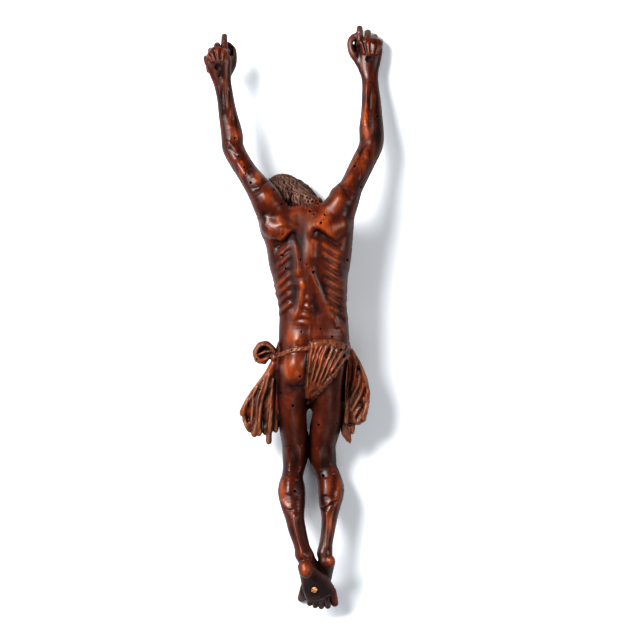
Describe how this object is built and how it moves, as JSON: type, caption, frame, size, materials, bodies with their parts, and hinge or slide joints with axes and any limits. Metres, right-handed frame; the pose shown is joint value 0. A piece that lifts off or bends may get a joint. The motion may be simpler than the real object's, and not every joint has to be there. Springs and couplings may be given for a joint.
{
  "type": "crucifix corpus figure",
  "caption": "Carved, varnished wooden figure with raised arms, fallen head, knotted loincloth and crossed feet, lying face down; nail holes in hands and sole.",
  "frame": {"origin": "centre of the bounding box's bottom face, on the surface the figure lies on", "axes": "+Y from the feet to the hands, +Z out of the figure's back, +X to the viewer's right, seen from behind"},
  "size_m": [0.1362, 0.4412, 0.0624],
  "materials": {
    "carved_wood": "dark red-brown varnish, worn glossy",
    "peg_wood": "raw broken wood"
  },
  "bodies": {
    "root": {"corpus": "carved_wood", "arm_left": "carved_wood", "arm_right": "carved_wood", "foot_peg": "peg_wood"}
  },
  "joints": []
}
